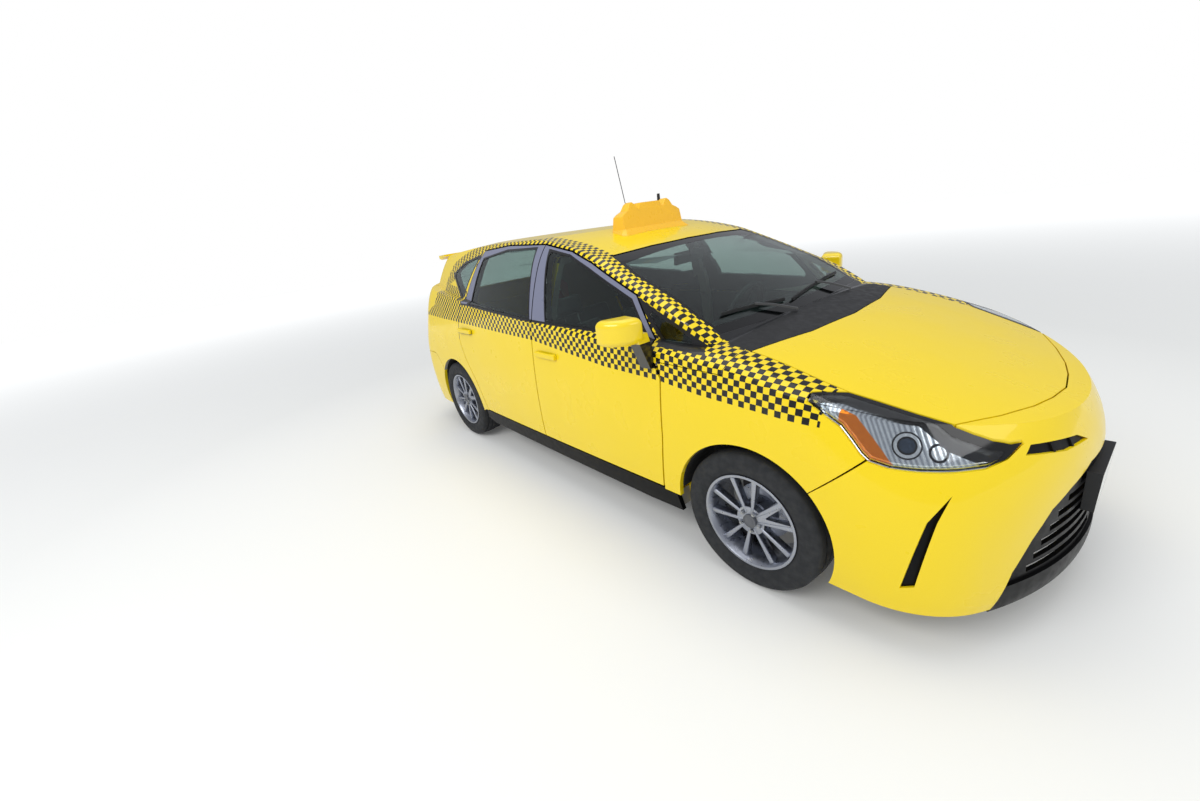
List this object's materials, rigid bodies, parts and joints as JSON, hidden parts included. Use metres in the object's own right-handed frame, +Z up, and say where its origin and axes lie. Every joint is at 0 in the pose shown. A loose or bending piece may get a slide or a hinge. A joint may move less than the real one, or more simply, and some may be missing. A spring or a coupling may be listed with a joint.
{
  "type": "taxi cab",
  "caption": "Full-size compact estate taxi cab with opening doors, bonnet and tailgate, steered wheels, cabin and roof sign.",
  "frame": {"origin": "on the ground, under the middle of the car's bounding box", "axes": "+X forward along the car, +Y to its left, +Z up"},
  "size_m": [4.6453, 2.0958, 1.9667],
  "materials": {
    "black_plastic": "satin",
    "black_steel": "satin",
    "body_paint": "gloss",
    "cast_iron": "rough",
    "clear_plastic": "polished",
    "engine_alloy": "satin",
    "exhaust_steel": "satin",
    "floor_steel": "satin",
    "glass": "polished",
    "lamp_bowl": "gloss",
    "plate": "satin",
    "red_plastic": "gloss",
    "seat_fabric": "matte",
    "sign_plastic": "gloss",
    "tyre": "matte",
    "wheel_alloy": "satin"
  },
  "bodies": {
    "body": {"arch_liners": "black_plastic", "body_shell": "body_paint", "bumper_inserts": "black_plastic", "cowl_panel": "black_plastic", "dashboard": "black_plastic", "engine_block": "engine_alloy", "exhaust": "exhaust_steel", "fender_left": "body_paint", "fender_right": "body_paint", "floor_pan": "floor_steel", "front_bumper": "body_paint", "front_plate": "plate", "front_seat_backs": "seat_fabric", "front_seat_bases": "black_steel", "front_seat_cushions": "seat_fabric", "front_subframe": "black_steel", "fuel_tank": "black_plastic", "headlamp_covers": "clear_plastic", "headlamps": "lamp_bowl", "interior_mirror": "black_plastic", "lower_grille": "black_plastic", "quarter_glasses": "glass", "rear_axle_beam": "black_steel", "rear_bumper": "body_paint", "rear_seat_back": "seat_fabric", "rear_seat_cushion": "seat_fabric", "roof_aerial": "black_plastic", "roof_sign": "sign_plastic", "sill_covers": "black_plastic", "tail_lamps": "red_plastic", "windscreen": "glass"},
    "front_door_left_body": {"front_door_left": "body_paint", "front_door_glass_left": "glass", "door_mirror_left": "body_paint"},
    "front_door_right_body": {"front_door_right": "body_paint", "front_door_glass_right": "glass", "door_mirror_right": "body_paint"},
    "rear_door_left_body": {"rear_door_left": "body_paint", "rear_door_glass_left": "glass"},
    "rear_door_right_body": {"rear_door_right": "body_paint", "rear_door_glass_right": "glass"},
    "bonnet_body": {"bonnet": "body_paint"},
    "tailgate_body": {"tailgate": "body_paint", "tailgate_glass": "glass", "rear_plate": "plate"},
    "knuckle_left_body": {"knuckle_left": "cast_iron"},
    "knuckle_right_body": {"knuckle_right": "cast_iron"},
    "front_left_wheel_body": {"tyre_front_left": "tyre", "wheel_front_left": "wheel_alloy"},
    "front_right_wheel_body": {"tyre_front_right": "tyre", "wheel_front_right": "wheel_alloy"},
    "rear_left_wheel_body": {"tyre_rear_left": "tyre", "wheel_rear_left": "wheel_alloy"},
    "rear_right_wheel_body": {"tyre_rear_right": "tyre", "wheel_rear_right": "wheel_alloy"},
    "steering_wheel_body": {"steering_wheel": "black_plastic"}
  },
  "joints": [
    {"name": "front_left_door_hinge", "type": "hinge", "parent": "body", "child": "front_door_left_body", "pos_m": [0.925, 0.882, 0.65], "axis": [0, 0, -1], "range_deg": [0, 62]},
    {"name": "front_right_door_hinge", "type": "hinge", "parent": "body", "child": "front_door_right_body", "pos_m": [0.925, -0.882, 0.65], "axis": [0, 0, 1], "range_deg": [0, 62]},
    {"name": "rear_left_door_hinge", "type": "hinge", "parent": "body", "child": "rear_door_left_body", "pos_m": [-0.135, 0.884, 0.65], "axis": [0, 0, -1], "range_deg": [0, 65]},
    {"name": "rear_right_door_hinge", "type": "hinge", "parent": "body", "child": "rear_door_right_body", "pos_m": [-0.135, -0.884, 0.65], "axis": [0, 0, 1], "range_deg": [0, 65]},
    {"name": "bonnet_hinge", "type": "hinge", "parent": "body", "child": "bonnet_body", "pos_m": [1.285, 0, 1.045], "axis": [0, -1, 0], "range_deg": [0, 50]},
    {"name": "tailgate_hinge", "type": "hinge", "parent": "body", "child": "tailgate_body", "pos_m": [-1.89, 0, 1.49], "axis": [0, 1, 0], "range_deg": [0, 70]},
    {"name": "front_left_steering", "type": "hinge", "parent": "body", "child": "knuckle_left_body", "pos_m": [1.3725, 0.755, 0.326], "axis": [0, 0, 1], "range_deg": [-35, 35]},
    {"name": "front_right_steering", "type": "hinge", "parent": "body", "child": "knuckle_right_body", "pos_m": [1.3725, -0.755, 0.326], "axis": [0, 0, 1], "range_deg": [-35, 35]},
    {"name": "steering_wheel_turn", "type": "hinge", "parent": "body", "child": "steering_wheel_body", "pos_m": [0.545, 0.36, 0.935], "axis": [-0.9063, 0, 0.4226], "range_deg": [-512, 512]},
    {"name": "front_left_wheel_spin", "type": "hinge", "parent": "knuckle_left_body", "child": "front_left_wheel_body", "pos_m": [1.3725, 0.765, 0.326], "axis": [0, 1, 0], "continuous": true},
    {"name": "front_right_wheel_spin", "type": "hinge", "parent": "knuckle_right_body", "child": "front_right_wheel_body", "pos_m": [1.3725, -0.765, 0.326], "axis": [0, 1, 0], "continuous": true},
    {"name": "rear_left_wheel_spin", "type": "hinge", "parent": "body", "child": "rear_left_wheel_body", "pos_m": [-1.4075, 0.765, 0.326], "axis": [0, 1, 0], "continuous": true},
    {"name": "rear_right_wheel_spin", "type": "hinge", "parent": "body", "child": "rear_right_wheel_body", "pos_m": [-1.4075, -0.765, 0.326], "axis": [0, 1, 0], "continuous": true}
  ],
  "couplings": [
    {"joint": "front_right_steering", "follows": "front_left_steering", "ratio": 1},
    {"joint": "steering_wheel_turn", "follows": "front_left_steering", "ratio": 14.6}
  ]
}
